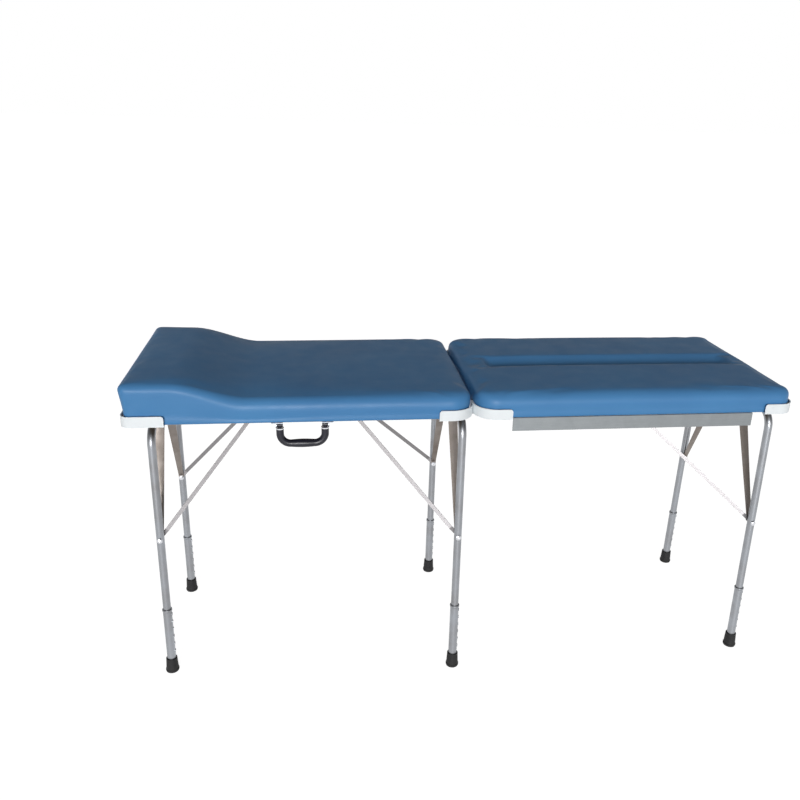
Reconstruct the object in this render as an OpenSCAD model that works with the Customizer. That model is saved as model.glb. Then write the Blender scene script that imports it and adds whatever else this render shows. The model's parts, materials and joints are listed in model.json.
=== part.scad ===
// Portable treatment table: two padded halves that fold face down on each other,
// three folding leg frames with height adjustment, and a carrying handle.
// X runs along the table with 0 at the joint between the halves, Y is across it,
// and Z is up from the floor. The near side is -Y.

/* [Table] */
// Overall length over the corner caps
table_l = 1850; // [1750:10:1950]
// Overall width over the corner caps
table_w = 588; // [560:2:620]
// Height of the decks' undersides above the floor
deck_h = 823; // [810:1:840]
// Gap between the two halves at the joint
joint_gap = 1; // [0.6:0.1:1.4]

/* [Cushions] */
// Height of the flat top above the deck's underside
pad_h = 67; // [64:1:74]
// Extra height of the head end
head_rise = 44; // [30:1:50]
// Length of the raised flat at the head end
head_flat_l = 116; // [80:2:150]
// Length of the ramp down from the raised flat
head_ramp_l = 205; // [150:5:260]
// Crown of the pad's middle over its edges
pad_crown = 4; // [2:0.5:7]
// Radius of the pad's upper edge along its sides
pad_edge_r = 28; // [20:1:30]
// Radius of the pad's upper edge at its ends
pad_end_r = 18; // [12:1:20]
// How far the pad's sides draw in at the bottom
pad_draw = 5; // [3:0.5:6]
// Corner radius of the head end, seen from above
head_corner_r = 22; // [18:1:30]
// Radius of the corners at the joint, seen from above
inner_corner_r = 60; // [50:1:66]
// Corner radius of the foot end, seen from above
corner_r = 42; // [34:1:50]
// Width of the long channel in the right cushion
channel_w = 104; // [80:2:130]
// Depth of that channel
channel_d = 15; // [8:1:20]
// From the joint to the start of the channel
channel_start = 70; // [50:2:100]
// From the end of the channel to the foot end
channel_end = 62; // [45:2:90]
// Length over which the channel fades out
channel_fade = 34; // [20:2:50]

/* [Decks] */
// Thickness of the plywood decks
deck_t = 12; // [9:1:15]
// Thickness of the cover where it wraps the deck's edge
skirt_t = 3; // [2:0.5:4]
// Clearance between the cover and what it lies against
soft_clear = 0.3; // [0.2:0.05:0.5]

/* [Corner caps] */
// Wall of the corner caps
cap_wall = 2.4; // [1.8:0.1:3]
// Height of the caps
cap_h = 27; // [22:1:32]
// Length of an outer cap along the table
outer_cap_l = 110; // [90:1:125]
// Length of an inner cap along the table
inner_cap_l = 100; // [85:1:115]
// Length of the caps across the table
cap_across = 78; // [65:1:95]
// Width of the lip that turns in under the deck
cap_lip = 34; // [28:1:38]
// Rounding of the cap's upper ends
cap_end_r = 8; // [4:1:12]

/* [Leg frames] */
// Outer diameter of the leg tubes
tube_d = 22.2; // [21:0.1:23]
// Wall of the leg tubes
tube_wall = 1.5; // [1.2:0.1:2]
// Bend radius of the leg tubes
bend_r = 46; // [40:1:52]
// From the head end to the left frame
left_frame_inset = 55; // [45:1:75]
// From the joint to the middle frame
mid_frame_x = 27; // [25:1:30]
// From the foot end to the right frame
right_frame_inset = 35; // [30:1:45]
// Left crossbar below the deck
left_drop = 50; // [49:0.5:52]
// Middle crossbar below the deck
mid_drop = 24; // [23:0.5:25]
// Right crossbar below the deck
right_drop = 24; // [23:0.5:26]
// Half spacing of the left legs at the crossbar
left_top_y = 200; // [194:1:202]
// Half spacing of the left feet
left_foot_y = 212; // [206:1:214]
// Half spacing of the middle legs at the crossbar
mid_top_y = 247; // [246:0.5:249]
// Half spacing of the middle feet
mid_foot_y = 266; // [264:0.5:267]
// Half spacing of the right legs at the crossbar
right_top_y = 232; // [228:1:236]
// Half spacing of the right feet
right_foot_y = 253; // [251:1:256]
// Height of the pivot bolts above the floor
bolt_z = 445; // [435:1:455]
// Diameter of the pivot bolts
bolt_d = 8; // [6:0.5:9]
// Across flats of the bolts' heads and nuts
bolt_af = 13; // [12:0.5:14]

/* [Cross straps] */
// Width of a strap at the bolt
strap_low_w = 16; // [14:0.5:17]
// Width of a strap at the crossbar
strap_top_w = 30; // [26:1:32]
// Thickness of the straps
strap_t = 3; // [2:0.5:4]
// Half spacing of the straps at the crossbar
strap_top_y = 62; // [58:1:70]

/* [Braces] */
// Width of the brace bars
brace_w = 11; // [10:0.5:12]
// Thickness of the brace bars
brace_t = 3; // [2.5:0.5:3.5]
// Length of the flat foot of a brace
brace_foot_l = 30; // [28:1:34]
// Length of the flat hook of a brace
brace_hook_l = 18; // [16:1:22]
// Keeper pins below the deck
keeper_drop = 40; // [38:1:42]
// From the left frame to its keeper pins
left_brace_run = 284; // [270:1:290]
// From the middle frame to its keeper pins
mid_brace_run = 316; // [305:1:320]
// From the right frame to its keeper pins
right_brace_run = 381; // [370:1:385]
// Half spacing of the left braces' hooks
left_hook_y = 47; // [44:1:49]
// Half spacing of the middle braces' hooks
mid_hook_y = 53; // [51:1:56]
// Half spacing of the right braces' hooks
right_hook_y = 50; // [47:1:53]
// Diameter of the keeper pins
keeper_pin_d = 5; // [4:0.5:5.5]

/* [Height adjustment] */
// Outer diameter of the sliding sleeves
sleeve_d = 25.4; // [25.2:0.1:26]
// Running clearance round the leg tubes
slide_clear = 0.1; // [0.05:0.05:0.2]
// Height of the sleeves' upper ends
sleeve_top = 215; // [208:1:222]
// Pitch of the row of index holes
hole_pitch = 25.4; // [24:0.2:26]
// Number of index holes
hole_count = 6; // [6:1:6]
// Diameter of the index holes
hole_d = 6.8; // [6.5:0.1:7.5]
// Height of the snap buttons above the floor
button_z = 145; // [142:1:148]
// Diameter of the snap buttons
button_d = 6; // [5:0.2:6]
// Length of the snap buttons
button_l = 7.5; // [7:0.1:8]

/* [Feet] */
// Diameter of a foot at the floor
foot_d = 39; // [36:1:40]
// Diameter of a foot at its upper rim
foot_top_d = 31; // [30:0.5:33]
// Height of a foot
foot_h = 45; // [40:1:50]
// Thickness of the rubber under the sleeve
foot_sole = 12; // [9:1:14]

/* [Centre hinge] */
// Hinge axis below the decks
hinge_drop = 57; // [56:0.5:58]
// Diameter of the hinge pins
hinge_pin_d = 10; // [8:0.5:12]
// Thickness of the hinge plates
hinge_t = 5; // [4:0.5:6]
// Half spacing of the left hinge plates
hinge_y = 120; // [112:1:130]
// Length of the hinge plates' flanges
hinge_flange_l = 62; // [56:1:70]

/* [Rails] */
// From the joint to the start of the rails
rail_start = 103; // [102:1:110]
// From the end of the rails to the foot end
rail_end_gap = 126; // [115:1:145]
// Depth of the rails below the deck
rail_h = 38; // [34:1:38]
// Width of the rails' flanges
rail_w = 26; // [22:1:28]
// Wall of the rails
rail_t = 2; // [1.5:0.1:2.2]

/* [Handle] */
// From the joint to the handle's middle
handle_x = 464; // [440:2:480]
// Width of the handle over its arms' centres
handle_w = 118; // [110:2:130]
// How far the grip's axis hangs below the pivots
handle_hang = 52; // [46:1:54]
// Diameter of the handle's arms
handle_arm_d = 20; // [16:0.5:20]
// Diameter of the grip
grip_d = 23; // [21:0.5:23]
// Bend radius of the handle's corners
handle_bend_r = 28; // [24:1:30]
// Pivots below the deck
handle_drop = 8; // [8:0.5:10]

/* [Hidden] */
$fn = 48;

// Overrun of a cut past the face that it opens
cut = 1;
// Small gap between pieces that are welded or pressed together
seat = 0.05;
// Gap between pieces that turn beside each other
side_gap = 0.4;
// Running clearance of pins and bolts in their holes
run_clear = 0.08;

half_l = table_l / 2;
half_w = table_w / 2;
half_gap = joint_gap / 2;
cap_reach = cap_wall + soft_clear;
pad_hw = half_w - cap_reach;
pad_in_x = half_gap + cap_reach;
pad_out_x = half_l - cap_reach;
deck_inset = pad_draw + skirt_t + soft_clear;
deck_top = deck_h + deck_t;
tube_r = tube_d / 2;
sleeve_r = sleeve_d / 2;
hinge_z = deck_h - hinge_drop;
left_frame_x = half_l - left_frame_inset;
right_frame_x = half_l - right_frame_inset;
rail_end = half_l - rail_end_gap;

// A leg frame: place along X, way that it folds, crossbar drop, half spacing at the
// crossbar and at the floor, brace run and half spacing of the brace hooks
left_frame = [-left_frame_x, 1, left_drop, left_top_y, left_foot_y, left_brace_run, left_hook_y];
mid_frame = [-mid_frame_x, -1, mid_drop, mid_top_y, mid_foot_y, mid_brace_run, mid_hook_y];
right_frame = [
    right_frame_x, -1, right_drop, right_top_y, right_foot_y, right_brace_run, right_hook_y
];
function frame_x(f) = f[0];
function frame_way(f) = f[1];
function bar_z(f) = deck_h - f[2];
function splay(f) = atan((f[4] - f[3]) / bar_z(f));
function leg_y(f, z) = f[3] + (f[4] - f[3]) * (bar_z(f) - z) / bar_z(f);
function keeper_x(f) = f[0] + f[1] * f[5];
function hook_y(f) = f[6];

pan_head_d = 9;
pan_head_h = 2.4;
screw_d = 4;
screw_grip = 8;

near = -1;
far = 1;

// Builds a child for the far side and mirrors it for the near side
module on_side(side) {
    mirror([0, side == near ? 1 : 0, 0]) children();
}

// Puts a child on a leg's axis at a height, turned to follow the leg's splay
module on_leg(f, z) {
    translate([frame_x(f), leg_y(f, z), z]) rotate([splay(f), 0, 0]) children();
}

// A plan outline with one radius at the low X end and another at the high X end
module plan(x0, x1, hw, r0, r1) {
    translate([x0 + r0, -hw]) square([x1 - r1 - x0 - r0, 2 * hw]);
    translate([x0, -hw + r0]) square([2 * r0, 2 * (hw - r0)]);
    translate([x1 - 2 * r1, -hw + r1]) square([2 * r1, 2 * (hw - r1)]);
    for (s = [-1, 1]) {
        translate([x0 + r0, s * (hw - r0)]) circle(r0);
        translate([x1 - r1, s * (hw - r1)]) circle(r1);
    }
}

// A flat bar's outline from the origin along +X with round ends
module bar_outline(l, w) {
    circle(d = w);
    translate([0, -w / 2]) square([l, w]);
    translate([l, 0]) circle(d = w);
}

// Cushions

// Heights are counted from the deck's underside
pad_base_z = deck_h + soft_clear;
side_steps = 4;
arc_steps = 5;
end_steps = 5;
mid_steps = 18;
top_y_shares = [
    -0.78, -0.52, -0.32, -0.21, -0.165, -0.11, -0.055, 0,
    0.055, 0.11, 0.165, 0.21, 0.32, 0.52, 0.78
];

function smooth(t) = let (c = min(max(t, 0), 1)) c * c * (3 - 2 * c);
// How far a rounded corner pulls in at a distance from its end
function round_in(d, r) = d >= r ? 0 : r - sqrt(r * r - (r - d) * (r - d));
function pad_stations(x0, x1, r0, r1) = concat(
    [for (i = [0:end_steps]) x0 + r0 * (1 - cos(90 * i / end_steps))],
    [for (i = [1:mid_steps]) x0 + r0 + (x1 - r1 - x0 - r0) * i / (mid_steps + 1)],
    [for (i = [0:end_steps]) x1 - r1 + r1 * sin(90 * i / end_steps)]
);
// Added height of the raised head end, whose outer end is at -pad_out_x
function head_height(x) =
    head_rise * smooth((-pad_out_x + head_flat_l + head_ramp_l - x) / head_ramp_l);
// Depth of the long channel at a point of the right cushion
function channel_depth(x, y) = abs(y) >= channel_w / 2 ? 0 :
    channel_d * smooth((x - channel_start) / channel_fade)
    * smooth((half_l - channel_end - x) / channel_fade)
    * pow(0.5 + 0.5 * cos(360 * y / channel_w), 0.6);
function crown_height(x, y, x0, x1) =
    pad_crown * (1 - pow(y / pad_hw, 2)) * (1 - pow((2 * x - x0 - x1) / (x1 - x0), 4));
function pad_top(x, y, x0, x1, head) = deck_h + pad_h
    + (head ? head_height(x) : -channel_depth(x, y)) + crown_height(x, y, x0, x1);

// Half of a section, from the bottom edge over the shoulder
function half_section(x, hw, top) = concat(
    [for (i = [0:side_steps]) let (
        t = i / side_steps,
        z = pad_base_z + (top - pad_edge_r - pad_base_z) * t,
        pull = pad_draw * pow(1 - t, 1.6)
    ) [x, hw - pull, z, pull]],
    [for (i = [1:arc_steps]) let (a = 90 * i / arc_steps)
        [x, hw - pad_edge_r * (1 - cos(a)), top - pad_edge_r * (1 - sin(a)), 0]]
);
// A whole section as a loop of points, drawn in at its foot towards the pad's centre
function section(x, x0, x1, r0, r1, head) = let (
    hw = pad_hw - round_in(x - x0, r0) - round_in(x1 - x, r1),
    fall = round_in(x - x0, pad_end_r) + round_in(x1 - x, pad_end_r),
    edge = pad_top(x, hw - pad_edge_r, x0, x1, head) - fall,
    side = half_section(x, hw, edge),
    xc = (x0 + x1) / 2,
    flat = hw - pad_edge_r,
    loop = concat(
        side,
        [for (i = [len(top_y_shares) - 1:-1:0]) let (y = flat * top_y_shares[i])
            [x, y, pad_top(x, y, x0, x1, head) - fall, 0]],
        [for (i = [len(side) - 1:-1:0]) [x, -side[i][1], side[i][2], side[i][3]]]
    )
) [for (p = loop) [xc + (p[0] - xc) * (1 - 2 * p[3] / (x1 - x0)), p[1], p[2]]];

// The closed skin of a cushion: sections joined in order, with flat ends
module pad_solid(x0, x1, r0, r1, head) {
    xs = pad_stations(x0, x1, r0, r1);
    rings = [for (x = xs) section(x, x0, x1, r0, r1, head)];
    m = len(rings[0]);
    n = len(rings);
    polyhedron(
        points = [for (r = rings) each r],
        faces = concat(
            [for (i = [0:n - 2], j = [0:m - 1]) [i * m + j, i * m + (j + 1) % m, (i + 1) * m + j]],
            [for (i = [0:n - 2], j = [0:m - 1])
                [i * m + (j + 1) % m, (i + 1) * m + (j + 1) % m, (i + 1) * m + j]],
            [[for (j = [m - 1:-1:0]) j]],
            [[for (j = [0:m - 1]) (n - 1) * m + j]]
        )
    );
}
// The hollow under a cushion that the deck fills
module deck_pocket(x0, x1, r0, r1) {
    grow = soft_clear;
    translate([0, 0, deck_h - cut]) linear_extrude(deck_t + soft_clear + cut)
        plan(x0 - grow, x1 + grow, pad_hw - deck_inset + grow, r0 + grow, r1 + grow);
}
module deck_plate(x0, x1, r0, r1) {
    translate([0, 0, deck_h]) linear_extrude(deck_t)
        plan(x0, x1, pad_hw - deck_inset, r0, r1);
}

module left_cushion() {
    color([0.16, 0.3, 0.5]) difference() {
        pad_solid(-pad_out_x, -pad_in_x, head_corner_r, inner_corner_r, true);
        deck_pocket(-deck_out_x, -deck_in_x, head_corner_r - deck_inset,
            inner_corner_r - deck_inset);
    }
}
module right_cushion() {
    color([0.16, 0.3, 0.5]) difference() {
        pad_solid(pad_in_x, pad_out_x, inner_corner_r, corner_r, false);
        deck_pocket(deck_in_x, deck_out_x, inner_corner_r - deck_inset, corner_r - deck_inset);
    }
}

// Decks

deck_in_x = pad_in_x + deck_inset;
deck_out_x = pad_out_x - deck_inset;

// Blind holes for the screws that hold the fittings
module screw_holes(places) {
    for (p = places) translate([p[0], p[1], deck_h - cut]) cylinder(d = screw_d + 2 * seat,
        h = screw_grip + cut);
}
module left_deck() {
    color([0.68, 0.54, 0.36]) difference() {
        deck_plate(-deck_out_x, -deck_in_x, head_corner_r - deck_inset,
            inner_corner_r - deck_inset);
        screw_holes(left_screw_places);
    }
}
module right_deck() {
    color([0.68, 0.54, 0.36]) difference() {
        deck_plate(deck_in_x, deck_out_x, inner_corner_r - deck_inset, corner_r - deck_inset);
        screw_holes(right_screw_places);
    }
}

// A pan head screw, driven up through a flange of the given thickness
module screw(p) {
    flange = p[2];
    translate([p[0], p[1], deck_h - flange]) {
        cylinder(d = screw_d, h = flange + screw_grip - seat);
        difference() {
            translate([0, 0, -pan_head_h]) intersection() {
                cylinder(d = pan_head_d, h = pan_head_h);
                translate([0, 0, pan_head_d - pan_head_h / 4]) sphere(d = 2 * pan_head_d);
            }
            for (a = [0, 90]) rotate(a) translate([0, 0, -pan_head_h])
                cube([pan_head_d * 0.6, pan_head_h / 3, pan_head_h], center = true);
        }
    }
}

// Corner caps

// The corner walls and lip of one half's two caps at one end
module caps_at(x_end, way, l, r) {
    x0 = way > 0 ? x_end : x_end - 2 * l;
    x1 = way > 0 ? x_end + 2 * l : x_end;
    r_in = max(r - cap_wall, cap_wall);
    for (side = [near, far]) on_side(side) difference() {
        intersection() {
            difference() {
                translate([0, 0, deck_h - cap_wall]) linear_extrude(cap_h + cap_wall)
                    plan(x0, x1, half_w, r, r);
                translate([0, 0, deck_h]) linear_extrude(cap_h + cut)
                    plan(x0 + cap_wall, x1 - cap_wall, half_w - cap_wall, r_in, r_in);
            }
            cap_side_profile(x_end, way, l);
            translate([x_end - 2 * l, half_w - cap_across, deck_h - 2 * cap_wall])
                cube([4 * l, cap_across, cap_h + 3 * cap_wall]);
        }
        cap_lip_cut(x_end, way, l);
    }
}
// The cap as seen from the side, with its upper end rounded
module cap_side_profile(x_end, way, l) {
    low = deck_h - cap_wall;
    translate([x_end, half_w, 0]) rotate([90, 0, 0]) linear_extrude(cap_across)
        mirror([way > 0 ? 0 : 1, 0]) {
            translate([0, low]) square([l - cap_end_r, cap_h + cap_wall]);
            translate([0, low]) square([l, cap_h + cap_wall - cap_end_r]);
            translate([l - cap_end_r, deck_h + cap_h - cap_end_r]) circle(cap_end_r);
        }
}
// Leaves the lip only along the two outer edges
module cap_lip_cut(x_end, way, l) {
    inner = cap_lip;
    translate([x_end + way * inner, half_w - cap_lip - cap_across, deck_h - 2 * cap_wall])
        mirror([way > 0 ? 0 : 1, 0, 0]) cube([2 * l, cap_across, 2 * cap_wall + cut]);
}
module left_outer_caps() {
    color([0.93, 0.95, 0.96]) caps_at(-half_l, 1, outer_cap_l, head_corner_r + cap_reach);
}
module left_inner_caps() {
    color([0.93, 0.95, 0.96]) caps_at(-half_gap, -1, inner_cap_l, inner_corner_r + cap_reach);
}
module right_inner_caps() {
    color([0.93, 0.95, 0.96]) caps_at(half_gap, 1, inner_cap_l, inner_corner_r + cap_reach);
}
module right_outer_caps() {
    color([0.93, 0.95, 0.96]) caps_at(half_l, -1, outer_cap_l - cap_lip / 2, corner_r + cap_reach);
}

// Leg frames

// From a bend's corner to where its arc starts
function bend_reach(f) = bend_r * tan((90 - splay(f)) / 2);
leg_end_z = foot_sole + 3 * hole_pitch + tube_d;
// How far the straight runs reach into the bends, where they are one tube
bend_lap = 0.5;
// How much the tube swells in a bend
bend_swell = 0.15;

// An inverted U of round bar, down to a given height
module bent_bar(f, r, end_z) {
    reach = bend_reach(f);
    x = frame_x(f);
    run = (bar_z(f) - end_z) / cos(splay(f)) - reach;
    half_bar = f[3] - reach + bend_lap;
    translate([x, 0, bar_z(f)]) rotate([90, 0, 0]) cylinder(r = r, h = 2 * half_bar, center = true);
    for (side = [near, far]) on_side(side) {
        translate([x, f[3] - reach, bar_z(f) - bend_r]) rotate([0, -90, 0])
            rotate_extrude(angle = 90 - splay(f)) translate([bend_r, 0]) circle(r + bend_swell);
        on_leg(f, end_z) cylinder(r = r, h = run + bend_lap);
    }
}
module leg_tube(f) {
    color([0.75, 0.76, 0.77]) difference() {
        bent_bar(f, tube_r, leg_end_z);
        bent_bar(f, tube_r - tube_wall, leg_end_z - cut);
        for (side = [near, far]) on_side(side) {
            translate([frame_x(f), leg_y(f, bolt_z), bolt_z]) rotate([90, 0, 0])
                cylinder(d = bolt_d + 2 * seat, h = 2 * tube_d, center = true);
            on_leg(f, button_z) rotate([0, 90, 0])
                cylinder(d = button_d + 2 * run_clear, h = tube_d);
        }
    }
}
module left_leg_tube() { leg_tube(left_frame); }
module mid_leg_tube() { leg_tube(mid_frame); }
module right_leg_tube() { leg_tube(right_frame); }

// Where the flat pieces on a leg's bolt lie, counted inwards from the tube
function tube_face_y(f) = leg_y(f, bolt_z) - tube_r;
function brace_out_y(f) = tube_face_y(f) - side_gap;
function tab_out_y(f) = brace_out_y(f) - brace_t - side_gap;
function nut_out_y(f) = tab_out_y(f) - strap_t - seat;

// A cross strap: a flat tab on the bolt, then a tapered bar up to the crossbar
module leg_strap(f) {
    tab_y = tab_out_y(f);
    z0 = bolt_z + strap_low_w / 2 + strap_t / 2;
    dy = tab_y - strap_t - strap_top_y;
    dz = bar_z(f) - z0;
    l = sqrt(dy * dy + dz * dz);
    difference() {
        union() {
            translate([frame_x(f), tab_y, bolt_z]) rotate([90, 0, 0]) linear_extrude(strap_t) {
                circle(d = strap_low_w);
                translate([-strap_low_w / 2, 0]) square([strap_low_w, strap_low_w / 2 + strap_t]);
            }
            translate([frame_x(f), tab_y - seat, z0]) rotate([atan(dy / dz), 0, 0]) rotate([90, 0, 0])
                linear_extrude(strap_t) polygon([
                    [side_gap - strap_low_w / 2, 0], [strap_low_w / 2 - side_gap, 0],
                    [strap_top_w / 2, l], [-strap_top_w / 2, l]
                ]);
        }
        translate([frame_x(f), tab_y + cut, bolt_z]) rotate([90, 0, 0])
            cylinder(d = bolt_d + 2 * seat, h = strap_t + 2 * cut);
        translate([frame_x(f), 0, bar_z(f)]) rotate([-90, 0, 0])
            cylinder(r = tube_r + seat, h = half_w);
        translate([frame_x(f) - strap_top_w, 0, bar_z(f)])
            cube([2 * strap_top_w, half_w, strap_top_w]);
    }
}
module leg_straps(f) {
    color([0.6, 0.6, 0.6]) for (side = [near, far]) on_side(side) leg_strap(f);
}
module left_leg_straps() { leg_straps(left_frame); }
module mid_leg_straps() { leg_straps(mid_frame); }
module right_leg_straps() { leg_straps(right_frame); }

// A pivot bolt with a round head outside and a nut on a washer inside
bolt_head_h = 4;
washer_t = 1.2;
module leg_bolt(f) {
    head_y = leg_y(f, bolt_z) + tube_r + side_gap;
    nut_y = nut_out_y(f);
    translate([frame_x(f), head_y, bolt_z]) rotate([90, 0, 0]) {
        cylinder(d = bolt_d, h = head_y - nut_y + washer_t + 1.6 * bolt_head_h);
        translate([0, 0, head_y - nut_y]) cylinder(d = bolt_af + 2 * washer_t, h = washer_t);
        translate([0, 0, head_y - nut_y + washer_t]) cylinder(d = bolt_af, h = bolt_head_h, $fn = 6);
        translate([0, 0, -washer_t]) cylinder(d = bolt_af + 2 * washer_t, h = washer_t);
        translate([0, 0, -washer_t]) intersection() {
            translate([0, 0, -bolt_head_h]) cylinder(d = bolt_af, h = bolt_head_h);
            translate([0, 0, bolt_af - bolt_head_h]) sphere(r = bolt_af);
        }
    }
}
module leg_bolts(f) {
    color([0.8, 0.8, 0.82]) for (side = [near, far]) on_side(side) leg_bolt(f);
}
module left_leg_bolts() { leg_bolts(left_frame); }
module mid_leg_bolts() { leg_bolts(mid_frame); }
module right_leg_bolts() { leg_bolts(right_frame); }

// Braces

hook_z = deck_h - keeper_drop;
hook_disc_d = 15;
notch_d = keeper_pin_d + 0.8;
// Way that the keeper pin leaves the notch as the brace swings down
notch_rise_share = 0.3;

// A brace, seen square on: a foot on the bolt, a bar leaning inwards, and a hook
module brace(f) {
    foot_y = brace_out_y(f);
    tip_y = hook_y(f);
    run = f[5];
    rise = hook_z - bolt_z;
    l = sqrt(run * run + rise * rise);
    lean_l = l - brace_foot_l - brace_hook_l;
    lean_y = foot_y - tip_y;
    // Local X runs along the brace, local Y across it and local Z outwards
    translate([frame_x(f), 0, bolt_z]) mirror([frame_way(f) > 0 ? 0 : 1, 0, 0])
        rotate([90, -atan2(rise, run), 0]) difference() {
            union() {
                translate([0, 0, -foot_y]) linear_extrude(brace_t) {
                    circle(d = brace_w + bolt_d / 2);
                    translate([0, -brace_w / 2]) square([brace_foot_l, brace_w]);
                }
                translate([0, -brace_w / 2, 0]) rotate([-90, 0, 0]) linear_extrude(brace_w)
                    polygon([
                        [brace_foot_l - brace_t, foot_y], [brace_foot_l, foot_y],
                        [brace_foot_l + lean_l + brace_t, tip_y],
                        [brace_foot_l + lean_l + brace_t, tip_y - brace_t],
                        [brace_foot_l + lean_l, tip_y - brace_t],
                        [brace_foot_l - brace_t, foot_y - brace_t]
                    ]);
                translate([0, 0, -tip_y]) linear_extrude(brace_t) {
                    translate([l - brace_hook_l, -brace_w / 2]) square([brace_hook_l, brace_w]);
                    translate([l, 0]) circle(d = hook_disc_d);
                }
            }
            translate([0, 0, -foot_y - cut])
                cylinder(d = bolt_d + 2 * run_clear, h = brace_t + 2 * cut);
            translate([l, 0, -tip_y - cut]) {
                cylinder(d = notch_d, h = brace_t + 2 * cut);
                rotate(180 - atan(notch_rise_share) - atan2(rise, run))
                    translate([0, -notch_d / 2, 0]) cube([hook_disc_d, notch_d, brace_t + 2 * cut]);
            }
        }
}
module brace_bar(f, side) {
    color([0.82, 0.83, 0.84]) on_side(side) brace(f);
}
module left_brace_near() { brace_bar(left_frame, near); }
module left_brace_far() { brace_bar(left_frame, far); }
module mid_brace_near() { brace_bar(mid_frame, near); }
module mid_brace_far() { brace_bar(mid_frame, far); }
module right_brace_near() { brace_bar(right_frame, near); }
module right_brace_far() { brace_bar(right_frame, far); }

// Keepers: a bent channel under the deck with a pin through each cheek

keeper_t = 3;
keeper_w = 26;
keeper_low = 9;
module keeper(f) {
    x = keeper_x(f);
    out_y = hook_y(f) - brace_t - side_gap;
    pin_l = keeper_t + brace_t + 2 * side_gap + keeper_t / 2;
    color([0.7, 0.7, 0.72]) {
        difference() {
            translate([x - keeper_w / 2, -out_y, deck_h - keeper_t]) cube([keeper_w, 2 * out_y, keeper_t]);
            for (p = keeper_screws(f)) flange_hole(p);
        }
        for (side = [near, far]) on_side(side) {
            translate([x, out_y, 0]) rotate([90, 0, 0]) linear_extrude(keeper_t) {
                translate([-keeper_w / 2, deck_h - keeper_drop / 2])
                    square([keeper_w, keeper_drop / 2 - keeper_t / 2]);
                translate([-keeper_low, hook_z]) square([2 * keeper_low, keeper_drop / 2]);
                translate([0, hook_z]) circle(keeper_low);
            }
            translate([x, out_y - keeper_t, hook_z]) rotate([-90, 0, 0])
                cylinder(d = keeper_pin_d, h = pin_l);
        }
    }
}
module left_keeper() { keeper(left_frame); }
module mid_keeper() { keeper(mid_frame); }
module right_keeper() { keeper(right_frame); }

// Saddles that carry the left and right crossbars

saddle_y = 120;
saddle_w = 30;
saddle_l = 46;
saddle_wall = 5;
saddle_flange_t = 5;
module saddle(f) {
    boss_r = tube_r + saddle_wall;
    x = frame_x(f);
    difference() {
        union() {
            translate([x, saddle_y - saddle_w / 2, deck_h - saddle_flange_t])
                mirror([frame_way(f) > 0 ? 0 : 1, 0, 0])
                    cube([saddle_l, saddle_w, saddle_flange_t]);
            translate([x, saddle_y + saddle_w / 2, 0]) rotate([90, 0, 0]) linear_extrude(saddle_w) {
                translate([0, bar_z(f)]) circle(boss_r);
                translate([-boss_r, bar_z(f)]) square([2 * boss_r, deck_h - bar_z(f)]);
            }
        }
        translate([x, 0, bar_z(f)]) rotate([-90, 0, 0])
            cylinder(r = tube_r + run_clear, h = 2 * saddle_y);
        for (p = saddle_screws(f)) on_side(p[1] < 0 ? near : far) flange_hole([p[0], abs(p[1]), p[2]]);
    }
}
module saddles(f) {
    color([0.55, 0.56, 0.58]) for (side = [near, far]) on_side(side) saddle(f);
}
module left_saddles() { saddles(left_frame); }
module right_saddles() { saddles(right_frame); }

// Centre hinge

hinge_flange_t = 4;
hinge_flange_w = 34;
hub_r = hinge_pin_d / 2 + 5;
bar_hub_r = tube_r + 5;
flange_in_x = 13;
// The outline of a left plate, which also carries the middle crossbar
module left_plate_outline() {
    translate([-mid_frame_x, deck_h - mid_drop]) circle(bar_hub_r);
    translate([-mid_frame_x - bar_hub_r, deck_h - mid_drop])
        square([2 * bar_hub_r - bar_hub_r / 4, mid_drop]);
    translate([0, hinge_z]) circle(hub_r);
    link_l = sqrt(pow(mid_frame_x, 2) + pow(hinge_drop - mid_drop, 2));
    translate([0, hinge_z]) rotate(180 - atan2(hinge_drop - mid_drop, mid_frame_x))
        translate([0, -hub_r]) square([link_l, 2 * hub_r]);
}
module hinge_left() {
    difference() {
        union() {
            translate([0, hinge_y, 0]) rotate([90, 0, 0]) linear_extrude(hinge_t)
                intersection() {
                    left_plate_outline();
                    translate([-hinge_flange_l - flange_in_x, hinge_z - hub_r])
                        square([hinge_flange_l + flange_in_x + hub_r, hinge_drop + hub_r]);
                }
            translate([-flange_in_x - hinge_flange_l, hinge_y - hinge_flange_w, deck_h - hinge_flange_t])
                cube([hinge_flange_l, hinge_flange_w, hinge_flange_t]);
        }
        translate([-mid_frame_x, 0, deck_h - mid_drop]) rotate([-90, 0, 0])
            cylinder(r = tube_r + run_clear, h = 2 * hinge_y);
        translate([0, 0, hinge_z]) rotate([-90, 0, 0])
            cylinder(d = hinge_pin_d + 2 * run_clear, h = 2 * hinge_y);
        for (p = left_hinge_screws()) on_side(p[1] < 0 ? near : far) flange_hole([p[0], abs(p[1]), p[2]]);
    }
}
right_plate_y = hinge_y + side_gap + hinge_t;
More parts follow.
